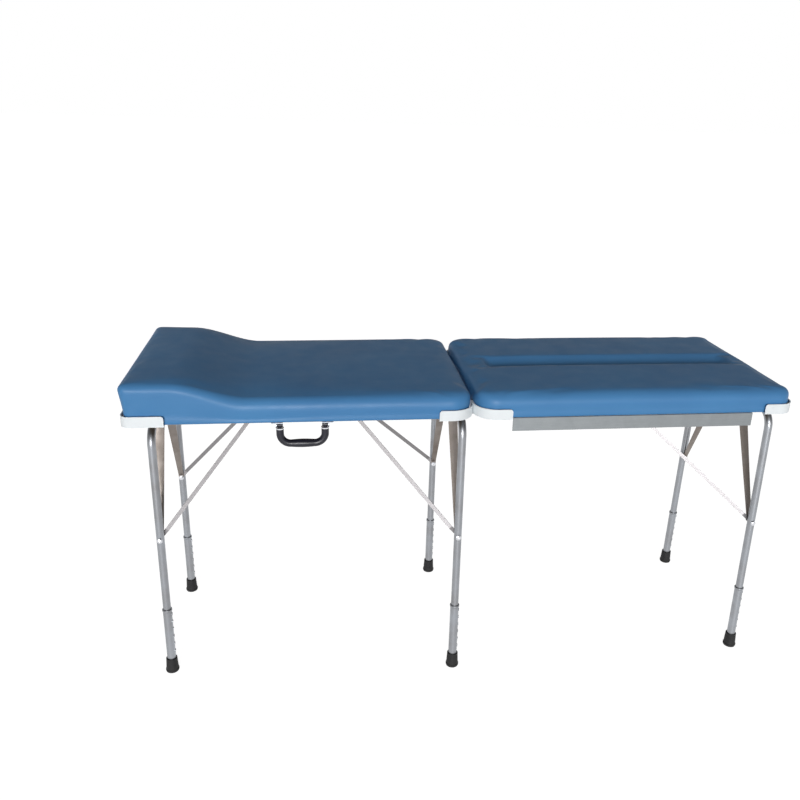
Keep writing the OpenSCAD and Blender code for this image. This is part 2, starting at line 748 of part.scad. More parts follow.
// The outline of a right plate: a hub on the pin and an arm up to the deck
module right_plate_outline() {
    translate([0, hinge_z]) circle(hub_r);
    polygon([
        [0, hinge_z - hub_r], [hub_r, hinge_z - hub_r / 2],
        [flange_in_x + hinge_flange_l, deck_h - hinge_flange_t], [flange_in_x + hinge_flange_l, deck_h],
        [flange_in_x, deck_h], [-hub_r * 0.7, hinge_z + hub_r * 0.7]
    ]);
}
module hinge_right() {
    difference() {
        union() {
            translate([0, right_plate_y, 0]) rotate([90, 0, 0]) linear_extrude(hinge_t)
                right_plate_outline();
            translate([flange_in_x, right_plate_y - hinge_t, deck_h - hinge_flange_t])
                cube([hinge_flange_l, hinge_flange_w, hinge_flange_t]);
        }
        translate([0, 0, hinge_z]) rotate([-90, 0, 0])
            cylinder(d = hinge_pin_d + 2 * run_clear, h = 2 * right_plate_y);
        for (p = right_hinge_screws()) on_side(p[1] < 0 ? near : far) flange_hole([p[0], abs(p[1]), p[2]]);
    }
}
module left_hinge_plates() {
    color([0.55, 0.56, 0.58]) for (side = [near, far]) on_side(side) hinge_left();
}
module right_hinge_plates() {
    color([0.55, 0.56, 0.58]) for (side = [near, far]) on_side(side) hinge_right();
}
pin_head_t = 2.5;
module hinge_pins() {
    inner_y = hinge_y - hinge_t - side_gap;
    outer_y = right_plate_y + side_gap;
    color([0.8, 0.8, 0.82]) for (side = [near, far]) on_side(side) {
        translate([0, inner_y, hinge_z]) rotate([-90, 0, 0])
            cylinder(d = hinge_pin_d, h = outer_y - inner_y);
        translate([0, inner_y - pin_head_t, hinge_z]) rotate([-90, 0, 0])
            cylinder(d = 1.6 * hinge_pin_d, h = pin_head_t);
        translate([0, outer_y, hinge_z]) rotate([-90, 0, 0])
            cylinder(d = 1.6 * hinge_pin_d, h = pin_head_t);
    }
}

// Rails under the long edges of the right half

rail_out_y = pad_hw - pad_draw + skirt_t / 2;
rail_screw_count = 4;
module rail() {
    color([0.6, 0.62, 0.64]) difference() {
        translate([rail_start, 0, 0]) rotate([90, 0, 90]) linear_extrude(rail_end - rail_start) {
            translate([rail_out_y - rail_t, deck_h - rail_h]) square([rail_t, rail_h]);
            translate([rail_out_y - rail_w, deck_h - rail_t]) square([rail_w, rail_t]);
        }
        for (p = rail_screws()) if (p[1] > 0) flange_hole(p);
    }
}
module near_rail() { on_side(near) rail(); }
module far_rail() { rail(); }

// Handle

handle_y = half_w - 12;
handle_pivot_z = deck_h - handle_drop;
handle_pin_d = 5;
ear_t = 3;
ear_r = 6;
plate_l = 30;
plate_w = 34;
plate_t = 2.5;
eye_l = 16;
eye_d = 10;
neck_d = 9;
// From a pivot down to the shoulder of the thick arm
neck_l = 10;
grip_steps = 12;
// The handle hangs on the near side, so it is built far and mirrored
module handle_shape() {
    half = handle_w / 2;
    for (s = [-1, 1]) {
        translate([s * half, 0, 0]) rotate([0, 90, 0]) cylinder(d = eye_d, h = eye_l, center = true);
        translate([s * half, 0, -neck_l]) cylinder(d = neck_d, h = neck_l);
        translate([s * half, 0, -handle_hang + handle_bend_r])
            cylinder(d = handle_arm_d, h = handle_hang - handle_bend_r - neck_l);
        translate([s * (half - handle_bend_r), 0, -handle_hang + handle_bend_r])
            mirror([s < 0 ? 1 : 0, 0, 0]) rotate([90, 0, 0]) rotate(-90)
                rotate_extrude(angle = 90) translate([handle_bend_r, 0]) circle(d = handle_arm_d);
    }
    grip_l = handle_w - 2 * handle_bend_r;
    swell = grip_d - handle_arm_d;
    translate([0, 0, -handle_hang]) rotate([0, 90, 0]) rotate_extrude() polygon([
        [0, -grip_l / 2],
        for (i = [0:grip_steps]) let (t = i / grip_steps)
            [(handle_arm_d + swell * sin(180 * t)) / 2, grip_l * (t - 1 / 2)],
        [0, grip_l / 2]
    ]);
}
module at_handle() {
    translate([-handle_x, -handle_y, handle_pivot_z]) children();
}
module handle_grip() {
    color([0.05, 0.055, 0.09]) at_handle() difference() {
        handle_shape();
        rotate([0, 90, 0]) cylinder(d = handle_pin_d + 2 * run_clear, h = 2 * handle_w, center = true);
    }
}
collar_h = 3.4;
collar_w = handle_arm_d + 1;
module handle_collars() {
    color([0.8, 0.8, 0.82]) at_handle() for (s = [-1, 1])
        translate([s * handle_w / 2, 0, seat - neck_l]) difference() {
            cylinder(d = collar_w, h = collar_h);
            translate([0, 0, -cut]) cylinder(d = neck_d + 2 * seat, h = collar_h + 2 * cut);
        }
}
// A plate under the deck, with an ear beside the handle's eye and a pin through it
module handle_bracket(s) {
    eye_out = s * (handle_w / 2 + eye_l / 2 + side_gap);
    pin_in = s * (handle_w / 2 - eye_l / 2);
    x0 = min(eye_out, eye_out + s * ear_t);
    difference() {
        translate([min(pin_in, eye_out + s * (plate_l - eye_l)), -handle_y - ear_r + cut, deck_h - plate_t])
            cube([plate_l + side_gap, plate_w, plate_t]);
        for (p = handle_screws()) translate([handle_x, 0, 0]) flange_hole(p);
    }
    translate([x0, -handle_y, handle_pivot_z]) rotate([90, 0, 90]) linear_extrude(ear_t) {
        circle(ear_r);
        translate([-ear_r + cut, 0]) square([2 * ear_r - cut, handle_drop - plate_t / 2]);
    }
    translate([min(pin_in, eye_out), -handle_y, handle_pivot_z]) rotate([0, 90, 0])
        cylinder(d = handle_pin_d, h = abs(eye_out - pin_in));
}
module handle_brackets() {
    color([0.75, 0.76, 0.77]) translate([-handle_x, 0, 0]) for (s = [-1, 1]) handle_bracket(s);
}

// Screws: place along X, place across, thickness of the flange

module flange_hole(p) {
    translate([p[0], p[1], deck_h - p[2] - cut]) cylinder(d = screw_d + 4 * seat, h = p[2] + 2 * cut);
}
saddle_screw_x = saddle_l - pan_head_d;
function saddle_screws(f) = [for (side = [near, far], s = [-1, 1])
    [frame_x(f) + frame_way(f) * saddle_screw_x, side * saddle_y + s * saddle_w / 4,
        saddle_flange_t]];
function keeper_screws(f) = [for (side = [near, far])
    [keeper_x(f), side * (hook_y(f) - brace_t) / 2, keeper_t]];
function left_hinge_screws() = [for (side = [near, far], s = [0.72, 0.92])
    [-flange_in_x - hinge_flange_l * s, side * (hinge_y - hinge_flange_w / 2), hinge_flange_t]];
function right_hinge_screws() = [for (side = [near, far], s = [0.3, 0.8])
    [flange_in_x + hinge_flange_l * s, side * (right_plate_y - hinge_t / 2 + hinge_flange_w / 2),
        hinge_flange_t]];
function rail_screws() = [for (side = [near, far], i = [0:rail_screw_count - 1])
    [rail_start + (rail_end - rail_start) * (i + 0.5) / rail_screw_count,
        side * (rail_out_y - rail_w * 0.6), rail_t]];
function handle_screws() = [for (s = [-1, 1])
    [-handle_x + s * (handle_w / 2 + plate_l / 2 - eye_l / 2), -handle_y + plate_w - pan_head_d * 1.4,
        plate_t]];
left_screw_places = concat(
    saddle_screws(left_frame), keeper_screws(left_frame), keeper_screws(mid_frame),
    left_hinge_screws(), handle_screws()
);
right_screw_places = concat(
    saddle_screws(right_frame), keeper_screws(right_frame), right_hinge_screws(), rail_screws()
);
module left_screws() { color([0.78, 0.78, 0.8]) for (p = left_screw_places) screw(p); }
module right_screws() { color([0.78, 0.78, 0.8]) for (p = right_screw_places) screw(p); }

// Height adjustment

rim_d = hole_d + 3;
rim_h = 0.9;
collar_ring_d = sleeve_d + 3;
collar_ring_h = 8;
sleeve_bore_d = tube_d + 2 * slide_clear;
sleeve_low = foot_sole + seat;
// Holes below the snap button at rest
holes_below = 3;

// A sleeve with a rolled ring on top and a row of rimmed index holes
module sleeve(f) {
    on_leg(f, 0) difference() {
        union() {
            translate([0, 0, sleeve_low]) cylinder(d = sleeve_d, h = sleeve_top - sleeve_low);
            translate([0, 0, sleeve_top - collar_ring_h]) rotate_extrude() polygon([
                [sleeve_bore_d / 2, 0], [sleeve_r, 0], [collar_ring_d / 2, collar_ring_h * 0.25],
                [collar_ring_d / 2, collar_ring_h * 0.8], [sleeve_r + rim_h / 2, collar_ring_h],
                [sleeve_bore_d / 2, collar_ring_h]
            ]);
            for (i = [0:hole_count - 1]) at_hole(f, i) cylinder(d = rim_d, h = sleeve_r + rim_h);
        }
        cylinder(d = sleeve_bore_d, h = sleeve_top + cut);
        for (i = [0:hole_count - 1]) at_hole(f, i) cylinder(d = hole_d, h = sleeve_d);
    }
}
module at_hole(f, i) {
    up_leg = button_z / cos(splay(f)) + (i - holes_below) * hole_pitch;
    translate([0, 0, up_leg]) rotate([0, 90, 0]) children();
}
module sleeve_on(f, side) {
    color([0.77, 0.78, 0.79]) on_side(side) sleeve(f);
}
module left_sleeve_near() { sleeve_on(left_frame, near); }
module left_sleeve_far() { sleeve_on(left_frame, far); }
module mid_sleeve_near() { sleeve_on(mid_frame, near); }
module mid_sleeve_far() { sleeve_on(mid_frame, far); }
module right_sleeve_near() { sleeve_on(right_frame, near); }
module right_sleeve_far() { sleeve_on(right_frame, far); }

// A snap button, drawn where it is pressed in: its face just inside the tube
module snap_button(f, side) {
    tip_r = tube_r - 2 * slide_clear;
    color([0.8, 0.8, 0.82]) on_side(side) on_leg(f, button_z) translate([tip_r - button_l, 0, 0])
        rotate([0, 90, 0]) {
            cylinder(d = button_d, h = button_l - button_d / 4);
            translate([0, 0, button_l - button_d / 4]) intersection() {
                cylinder(d = button_d, h = button_d / 4);
                translate([0, 0, button_d / 4 - button_d]) sphere(d = 2 * button_d);
            }
        }
}
module left_button_near() { snap_button(left_frame, near); }
module left_button_far() { snap_button(left_frame, far); }
module mid_button_near() { snap_button(mid_frame, near); }
module mid_button_far() { snap_button(mid_frame, far); }
module right_button_near() { snap_button(right_frame, near); }
module right_button_far() { snap_button(right_frame, far); }

// Feet: tapered rubber ferrules with a foot ring, cut flat on the floor

foot_ring_h = 7;
foot_lip = 1.5;
module foot(f) {
    r0 = foot_d / 2;
    r1 = foot_top_d / 2;
    difference() {
        on_leg(f, 0) rotate_extrude() polygon([
            [0, -cut], [r0 - foot_lip, -cut], [r0 - foot_lip / 2, foot_lip / 2], [r0, 2 * foot_lip],
            [r0, foot_ring_h], [r0 - foot_lip, foot_ring_h + foot_lip],
            [r1 + foot_lip / 2, foot_h - 3 * foot_lip], [r1 + foot_lip / 2, foot_h - foot_lip],
            [r1, foot_h], [sleeve_r + seat, foot_h], [sleeve_r + seat, foot_sole], [0, foot_sole]
        ]);
        translate([frame_x(f) - foot_d, leg_y(f, 0) - foot_d, -foot_d])
            cube([2 * foot_d, 2 * foot_d, foot_d]);
    }
}
module foot_on(f, side) {
    color([0.06, 0.06, 0.065]) on_side(side) foot(f);
}
module left_foot_near() { foot_on(left_frame, near); }
module left_foot_far() { foot_on(left_frame, far); }
module mid_foot_near() { foot_on(mid_frame, near); }
module mid_foot_far() { foot_on(mid_frame, far); }
module right_foot_near() { foot_on(right_frame, near); }
module right_foot_far() { foot_on(right_frame, far); }

left_deck();
left_cushion();
left_outer_caps();
left_inner_caps();
left_saddles();
left_hinge_plates();
left_keeper();
mid_keeper();
handle_brackets();
left_screws();
right_deck();
right_cushion();
right_outer_caps();
right_inner_caps();
near_rail();
far_rail();
right_saddles();
right_hinge_plates();
right_keeper();
right_screws();
hinge_pins();
handle_grip();
handle_collars();
left_leg_tube();
left_leg_straps();
left_leg_bolts();
mid_leg_tube();
mid_leg_straps();
mid_leg_bolts();
right_leg_tube();
right_leg_straps();
right_leg_bolts();
left_brace_near();
left_brace_far();
mid_brace_near();
mid_brace_far();
right_brace_near();
right_brace_far();
left_sleeve_near();
left_sleeve_far();
mid_sleeve_near();
mid_sleeve_far();
right_sleeve_near();
right_sleeve_far();
left_foot_near();
left_foot_far();
mid_foot_near();
mid_foot_far();
right_foot_near();
right_foot_far();
left_button_near();
left_button_far();
mid_button_near();
mid_button_far();
right_button_near();
right_button_far();
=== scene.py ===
"""Looks of a portable treatment table: two padded halves on three folding leg frames.

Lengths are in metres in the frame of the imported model: X along the table with 0 at the joint of
the halves, Y across it with the handle on the -Y side, Z up from the floor.
"""

import json

import bmesh
import bpy
import numpy as np
from mathutils import Matrix, Vector


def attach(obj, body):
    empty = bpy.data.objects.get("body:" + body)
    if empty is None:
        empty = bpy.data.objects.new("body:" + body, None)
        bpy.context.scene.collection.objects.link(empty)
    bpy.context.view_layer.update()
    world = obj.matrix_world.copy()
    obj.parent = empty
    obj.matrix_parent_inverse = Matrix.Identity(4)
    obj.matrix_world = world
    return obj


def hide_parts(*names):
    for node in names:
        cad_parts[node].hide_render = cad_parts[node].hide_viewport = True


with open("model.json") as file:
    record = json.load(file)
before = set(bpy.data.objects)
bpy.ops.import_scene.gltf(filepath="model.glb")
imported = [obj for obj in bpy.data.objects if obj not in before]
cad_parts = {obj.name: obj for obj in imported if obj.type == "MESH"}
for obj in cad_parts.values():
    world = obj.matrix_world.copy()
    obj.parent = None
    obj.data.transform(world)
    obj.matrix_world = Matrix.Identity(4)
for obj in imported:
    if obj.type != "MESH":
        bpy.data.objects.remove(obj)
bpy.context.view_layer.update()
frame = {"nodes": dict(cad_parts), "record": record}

# Sizes of the halves, as in the construction
HALF_LENGTH = 0.925
HALF_WIDTH = 0.294
JOINT_HALF_GAP = 0.0005
DECK_UNDERSIDE = 0.823
DECK_THICKNESS = 0.012
PLIES = 5
COVER_CLEARANCE = 0.0003
CAP_REACH = 0.0027
PAD_HEIGHT = 0.067
PAD_CROWN = 0.004
SHOULDER_RADIUS = 0.028
END_RADIUS = 0.018
SIDE_DRAW = 0.005
SKIRT = 0.003
HEAD_CORNER = 0.022
INNER_CORNER = 0.060
FOOT_CORNER = 0.042
HEAD_RISE = 0.044
HEAD_FLAT = 0.116
HEAD_RAMP = 0.205
HEAD_LEAN = 0.010
CHANNEL_WIDTH = 0.104
CHANNEL_DEPTH = 0.015
CHANNEL_START = 0.070
CHANNEL_END = 0.863
CHANNEL_FADE = 0.034
CHANNEL_SHARPNESS = 0.6
LEAN_START = 0.02
SIDE_BOW = 1.6
LEAST_CORNER = 0.003
# The pads start this much smaller, because the cover swells when it is inflated
SWELL = 0.0022
SWELL_LIMIT = 0.0035
# Where the cover is held while it is inflated
HOLD_HEIGHT = 0.018
POCKET_MARGIN = 0.002
SEWN_SHARE = 0.9
SEWN_HOLD = 0.5
SEWN_HEIGHT = 0.03
# Rows of each cover's mesh
CORNER_CELLS = 5
ALONG_CELLS = 104
ACROSS_CELLS = 62
SHOULDER_RINGS = 7
SIDE_RINGS = 8
WELD = 1e-5
# Shares of the skirt's draw and of the pocket's height at which the cover has rings
SKIRT_SHARES = np.array([[0.4], [1.0]])
POCKET_SHARES = np.array([[0.2], [0.6], [1.0]])
CLOTH_FRAMES = 20

PAD_HALF_WIDTH = HALF_WIDTH - CAP_REACH
PAD_INNER_X = JOINT_HALF_GAP + CAP_REACH
PAD_OUTER_X = HALF_LENGTH - CAP_REACH


# Upholstery shapes


def smooth(t):
    """The cubic step 3t^2 - 2t^3 with t held between 0 and 1."""
    t = np.clip(t, 0.0, 1.0)
    return t * t * (3.0 - 2.0 * t)


def head_height(x):
    """Extra height of the raised head end: a smooth ramp down from a flat at the outer end."""
    return HEAD_RISE * smooth((-PAD_OUTER_X + HEAD_FLAT + HEAD_RAMP - x) / HEAD_RAMP)


def channel_depth(x, y):
    """Depth of the long channel: a raised cosine across, to a power that flattens its floor and
    steepens its walls, times a smooth fade at each end."""
    along = smooth((x - CHANNEL_START) / CHANNEL_FADE) * smooth((CHANNEL_END - x) / CHANNEL_FADE)
    inside = np.abs(y) < CHANNEL_WIDTH / 2
    across = np.clip(0.5 + 0.5 * np.cos(2 * np.pi * y / CHANNEL_WIDTH), 0, 1) ** CHANNEL_SHARPNESS
    return np.where(inside, CHANNEL_DEPTH * along * across, 0.0)


def plan_grid(x0, x1, half_width, r0, r1, along, across, inset_x, inset_y):
    """Plan places of a grid over a rectangle with rounded corners, r0 at the x0 end and r1 at x1.

    A corner cell (a, b) of the unit square goes to the quarter disc at
    (a sqrt(1 - b^2/2), b sqrt(1 - a^2/2)), which keeps the cell's straight sides in place.
    The outline is drawn in by inset_x at the ends and inset_y at the sides, held so that a corner
    keeps a radius of LEAST_CORNER. Returns x, y, the outward direction of each point, which is of
    length 1 on the outline, and the two insets that were used.
    """
    fan = 1.0 - np.arange(CORNER_CELLS) / CORNER_CELLS
    length = x1 - r1 - x0 - r0
    a = np.concatenate([-fan, np.zeros(along), fan[::-1]])
    straight = np.linspace(0, 1, along)
    centre_x = np.concatenate([
        np.full(CORNER_CELLS, x0 + r0), x0 + r0 + length * straight,
        np.full(CORNER_CELLS, x1 - r1),
    ])
    b = np.concatenate([-fan, np.zeros(across), fan[::-1]])
    level = np.concatenate([
        np.full(CORNER_CELLS, -1.0), 2 * np.linspace(0, 1, across) - 1, np.full(CORNER_CELLS, 1.0),
    ])
    radius = r0 + (r1 - r0) * smooth((centre_x - x0 - r0) / length)
    a_grid, b_grid = np.meshgrid(a, b, indexing="ij")
    out_x = a_grid * np.sqrt(1 - b_grid**2 / 2)
    out_y = b_grid * np.sqrt(1 - a_grid**2 / 2)
    radius = radius[:, None] + 0 * b_grid
    used_x = np.minimum(inset_x, radius - LEAST_CORNER)
    used_y = np.minimum(inset_y, radius - LEAST_CORNER)
    x = centre_x[:, None] + (radius - used_x) * out_x
    y = level[None, :] * (half_width - radius) + (radius - used_y) * out_y
    return x, y, out_x, out_y, used_x, used_y


def outline_of(grid):
    """The grid's border as one loop, anticlockwise seen from above."""
    return np.concatenate([grid[:-1, 0], grid[-1, :-1], grid[:0:-1, -1], grid[0, :0:-1]])


def grid_faces(index):
    """Quads between neighbours of a two dimensional index array."""
    return np.stack(
        [index[:-1, :-1], index[1:, :-1], index[1:, 1:], index[:-1, 1:]], axis=-1
    ).reshape(-1, 4)


def mesh_object(name, points, faces):
    """A mesh object at the origin from arrays of points and faces."""
    mesh = bpy.data.meshes.new(name)
    mesh.from_pydata(points, [], faces.tolist())
    piece = bpy.data.objects.new(name, mesh)
    bpy.context.scene.collection.objects.link(piece)
    mesh.shade_smooth()
    return piece


def lean_out(points):
    """The raised end's face leans out: by up to HEAD_LEAN, growing with height and nearness."""
    near = smooth((-PAD_OUTER_X + HEAD_FLAT - points[..., 0]) / HEAD_FLAT)
    high = smooth((points[..., 2] - DECK_UNDERSIDE - LEAN_START)
                  / (PAD_HEIGHT + HEAD_RISE - LEAN_START))
    return points - np.stack([HEAD_LEAN * near * high, 0 * near, 0 * near], axis=-1)


def pad_cover(name, x0, x1, r0, r1, head):
    """A closed cushion cover with a pocket below for the deck.

    Its top is a plan grid inset by the shoulder, at the height of the flat top plus the head's
    ramp or minus the channel, with a crown (1 - v^2)(1 - u^4). From the top's outline, rings go
    out and down along the shoulder's quarter ellipse, then down the side, which draws in by
    t^SIDE_BOW, round the skirt's lower edge and up into the pocket, whose ceiling is flat.
    """
    x0, x1 = x0 + SWELL, x1 - SWELL
    width = PAD_HALF_WIDTH - SWELL
    plan = (x0, x1, width, r0, r1, ALONG_CELLS, ACROSS_CELLS)
    x, y, out_x, out_y, inset_x, inset_y = plan_grid(*plan, END_RADIUS, SHOULDER_RADIUS)

    def top_at(px, py):
        u = np.clip((2 * px - x0 - x1) / (x1 - x0), -1, 1)
        rise = PAD_CROWN * (1 - (py / width) ** 2) * (1 - u**4)
        form = head_height(px) if head else -channel_depth(px, py)
        return DECK_UNDERSIDE + PAD_HEIGHT - SWELL + form + rise

    top = np.stack([x, y, top_at(x, y)], axis=-1)
    edge_x, edge_y, edge_z = outline_of(x), outline_of(y), outline_of(top[..., 2])
    side_x, side_y = outline_of(out_x), outline_of(out_y)
    in_x, in_y = outline_of(inset_x), outline_of(inset_y)
    drop = np.hypot(in_x * side_x, in_y * side_y)
    foot = DECK_UNDERSIDE + COVER_CLEARANCE
    turn = np.linspace(0, np.pi / 2, SHOULDER_RINGS + 1)[1:, None]
    fall = (np.arange(1, SIDE_RINGS + 1) / SIDE_RINGS)[:, None]
    hem = SIDE_DRAW + SKIRT
    # Each step: share of the inset regained, drawing in again, height
    steps = [
        (np.sin(turn), 0 * turn, edge_z - drop * (1 - np.cos(turn))),
        (1 + 0 * fall, SIDE_DRAW * fall**SIDE_BOW, edge_z - drop + (foot - edge_z + drop) * fall),
        (np.ones_like(SKIRT_SHARES), SIDE_DRAW + SKIRT * SKIRT_SHARES, foot + 0 * edge_z),
        (np.ones_like(POCKET_SHARES), np.full_like(POCKET_SHARES, hem),
         foot + DECK_THICKNESS * POCKET_SHARES + 0 * edge_z),
    ]
    rings = np.concatenate([
        np.stack(np.broadcast_arrays(edge_x + (share * in_x - draw) * side_x,
                                     edge_y + (share * in_y - draw) * side_y, z), axis=-1)
        for share, draw, z in steps
    ])
    px, py = plan_grid(*plan, hem, hem)[:2]
    ceiling = np.stack([px, py, np.full_like(px, foot + DECK_THICKNESS)], axis=-1)
    if head:
        top, rings = lean_out(top), lean_out(rings)

    nx, ny = x.shape
    top_index = np.arange(nx * ny).reshape(nx, ny)
    count = rings.shape[1]
    ring_index = nx * ny + np.arange(rings.shape[0] * count).reshape(rings.shape[0], count)
    ring_index = np.vstack([outline_of(top_index), ring_index])
    ring_index = np.hstack([ring_index, ring_index[:, :1]])
    start = nx * ny + rings.shape[0] * count
    ceiling_index = start + top_index
    faces = np.concatenate([
        grid_faces(top_index), grid_faces(ring_index), grid_faces(ceiling_index)[:, ::-1]
    ])
    points = np.concatenate([top.reshape(-1, 3), rings.reshape(-1, 3), ceiling.reshape(-1, 3)])
    piece = mesh_object(name, points, faces)
    shape = bmesh.new()
    shape.from_mesh(piece.data)
    bmesh.ops.remove_doubles(shape, verts=shape.verts, dist=WELD)
    bmesh.ops.recalc_face_normals(shape, faces=shape.faces)
    shape.to_mesh(piece.data)
    shape.free()
    return piece


def mesh_points(mesh):
    """The mesh's vertex places as an array."""
    points = np.empty(len(mesh.vertices) * 3)
    mesh.vertices.foreach_get("co", points)
    return points.reshape(-1, 3)


def inflate(piece, cap, held):
    """Swells a cover with Blender's cloth under pressure, and applies the result.

    held(points) gives how firmly each point is held, 0 to 1. A point moves by no more than cap:
    its shift s becomes s tanh(|s| / cap) cap / |s|.
    """
    before = mesh_points(piece.data)
    group = piece.vertex_groups.new(name="held")
    firm = held(before)
    for weight in (0.25, 0.5, 1.0):
        chosen = np.nonzero(firm >= weight)[0]
        group.add(chosen.tolist(), weight, "REPLACE")
    cloth = piece.modifiers.new("Cover under pressure", "CLOTH")
    settings = cloth.settings
    settings.quality = 5
    settings.mass = 0.3
    settings.tension_stiffness = 60
    settings.compression_stiffness = 60
    settings.shear_stiffness = 20
    settings.bending_stiffness = 8
    settings.vertex_group_mass = "held"
    settings.use_pressure = True
    settings.uniform_pressure_force = 4
    settings.effector_weights.gravity = 0
    scene = bpy.context.scene
    for number in range(1, CLOTH_FRAMES + 1):
        scene.frame_set(number)
    depsgraph = bpy.context.evaluated_depsgraph_get()
    swollen = mesh_points(piece.evaluated_get(depsgraph).to_mesh())
    piece.modifiers.remove(cloth)
    shift = swollen - before
    length = np.linalg.norm(shift, axis=1, keepdims=True)
    shift *= np.tanh(length / cap) * cap / np.maximum(length, 1e-9)
    piece.data.vertices.foreach_set("co", (before + shift).ravel())
    scene.frame_set(1)
    piece.vertex_groups.clear()
    finer = piece.modifiers.new("Smooth cover", "SUBSURF")
    finer.levels = finer.render_levels = 1
    piece.data.shade_smooth()
    return piece


def held_below(points):
    """Full hold in the pocket and on the hem, easing to none at HOLD_HEIGHT up the side."""
    height = points[:, 2] - DECK_UNDERSIDE
    inset = np.minimum(PAD_HALF_WIDTH - np.abs(points[:, 1]), np.minimum(
        np.abs(np.abs(points[:, 0]) - PAD_INNER_X), PAD_OUTER_X - np.abs(points[:, 0])))
    pocket = (height < DECK_THICKNESS + POCKET_MARGIN) & (inset > SIDE_DRAW + SKIRT_SHARES[0, 0] * SKIRT)
    return np.where(pocket, 1.0, np.clip(1.0 - height / HOLD_HEIGHT, 0, 1))


def held_channel(points):
    """The hold of the hem, and of the line where the cover is sewn down into the channel."""
    sewn = channel_depth(points[:, 0], points[:, 1]) > SEWN_SHARE * CHANNEL_DEPTH
    above = points[:, 2] > DECK_UNDERSIDE + SEWN_HEIGHT
    return np.maximum(held_below(points), SEWN_HOLD * (sewn & above))


# Finishes


def surface_of(finish):
    """The material's Principled node."""
    return finish.node_tree.nodes["Principled BSDF"]


def material(name, colour, roughness, metallic=0.0, **sockets):
    """A new node material with a Principled surface. Further sockets are set by name."""
    finish = bpy.data.materials.new(name)
    finish.use_nodes = True
    surface = surface_of(finish)
    surface.inputs["Base Color"].default_value = (*colour, 1.0)
    surface.inputs["Roughness"].default_value = roughness
    surface.inputs["Metallic"].default_value = metallic
    for socket, value in sockets.items():
        surface.inputs[socket.replace("_", " ")].default_value = value
    finish.diffuse_color = (*colour, 1.0)
    return finish


def add(finish, kind, **settings):
    """Adds a node. A setting that names an input socket sets or links it, others are properties."""
    made = finish.node_tree.nodes.new(kind)
    for key, value in settings.items():
        socket = key.replace("_", " ")
        if hasattr(made, key):
            setattr(made, key, value)
        elif isinstance(value, bpy.types.NodeSocket):
            finish.node_tree.links.new(value, made.inputs[socket])
        else:
            made.inputs[socket].default_value = value
    return made


def place(finish, scale=(1, 1, 1), turn=(0, 0, 0)):
    """Object coordinates, stretched and turned."""
    source = add(finish, "ShaderNodeTexCoord").outputs["Object"]
    return add(finish, "ShaderNodeMapping", Vector=source, Scale=scale, Rotation=turn).outputs[0]


def noise(finish, where, scale, detail=3.0, rough=0.5):
    """Fractal noise, about 0.5 on average."""
    return add(finish, "ShaderNodeTexNoise", Vector=where, Scale=scale, Detail=detail,
               Roughness=rough).outputs["Fac"]


def spread(finish, value, low, high, start=0.3, end=0.7):
    """Maps a value from start..end to low..high."""
    made = add(finish, "ShaderNodeMapRange", Value=value)
    for socket, number in (("From Min", start), ("From Max", end), ("To Min", low), ("To Max", high)):
        made.inputs[socket].default_value = number
    return made.outputs["Result"]


def blend(finish, factor, first, second):
    """A mix of two colours, each a triple or a colour socket."""
    made = finish.node_tree.nodes.new("ShaderNodeMix")
    made.data_type = "RGBA"
    finish.node_tree.links.new(factor, made.inputs["Factor"])
    for socket, colour in ((made.inputs[6], first), (made.inputs[7], second)):
        if isinstance(colour, bpy.types.NodeSocket):
            finish.node_tree.links.new(colour, socket)
        else:
            socket.default_value = (*colour, 1.0)
    return made.outputs[2]


def link(finish, output, socket):
    """Joins an output to a named socket of the surface."""
    finish.node_tree.links.new(output, surface_of(finish).inputs[socket])


def combine(finish, operation, first, second):
    """A sum, product or the like of a value socket with another, or with a number."""
    made = add(finish, "ShaderNodeMath", operation=operation)
    for socket, value in zip(made.inputs, (first, second)):
        if isinstance(value, bpy.types.NodeSocket):
            finish.node_tree.links.new(value, socket)
        else:
            socket.default_value = value
    return made.outputs[0]


def relief(finish, heights):
    """Chains bumps: (height socket, strength, distance) from coarse to fine."""
    normal = None
    for height, strength, distance in heights:
        made = add(finish, "ShaderNodeBump", Height=height, Strength=strength, Distance=distance)
        if normal is not None:
            finish.node_tree.links.new(normal, made.inputs["Normal"])
        normal = made.outputs["Normal"]
    link(finish, normal, "Normal")


def vinyl(name, colour, deep):
    """Satin upholstery vinyl: pebbled grain of rounded cells with fine creases between them, a
    slow drift of tone, and gloss that varies where the cover is handled."""
    finish = material(name, colour, 0.44, Specular_IOR_Level=0.32, Coat_Weight=0.04,
                      Coat_Roughness=0.3)
    where = place(finish)
    tone = noise(finish, where, 5.0, 4.0)
    link(finish, blend(finish, spread(finish, tone, 0, 1), deep, colour), "Base Color")
    link(finish, spread(finish, noise(finish, where, 22.0, 5.0), 0.44, 0.56), "Roughness")
    cells = add(finish, "ShaderNodeTexVoronoi", Vector=where, feature="SMOOTH_F1", Scale=620.0,
                Smoothness=0.6).outputs["Distance"]
    creases = noise(finish, where, 260.0, 4.0)
    pull = noise(finish, place(finish, (1.0, 2.6, 6.0)), 9.0, 2.0)
    relief(finish, [(pull, 0.12, 0.004), (creases, 0.16, 0.0005), (cells, 0.28, 0.0004)])
    return finish


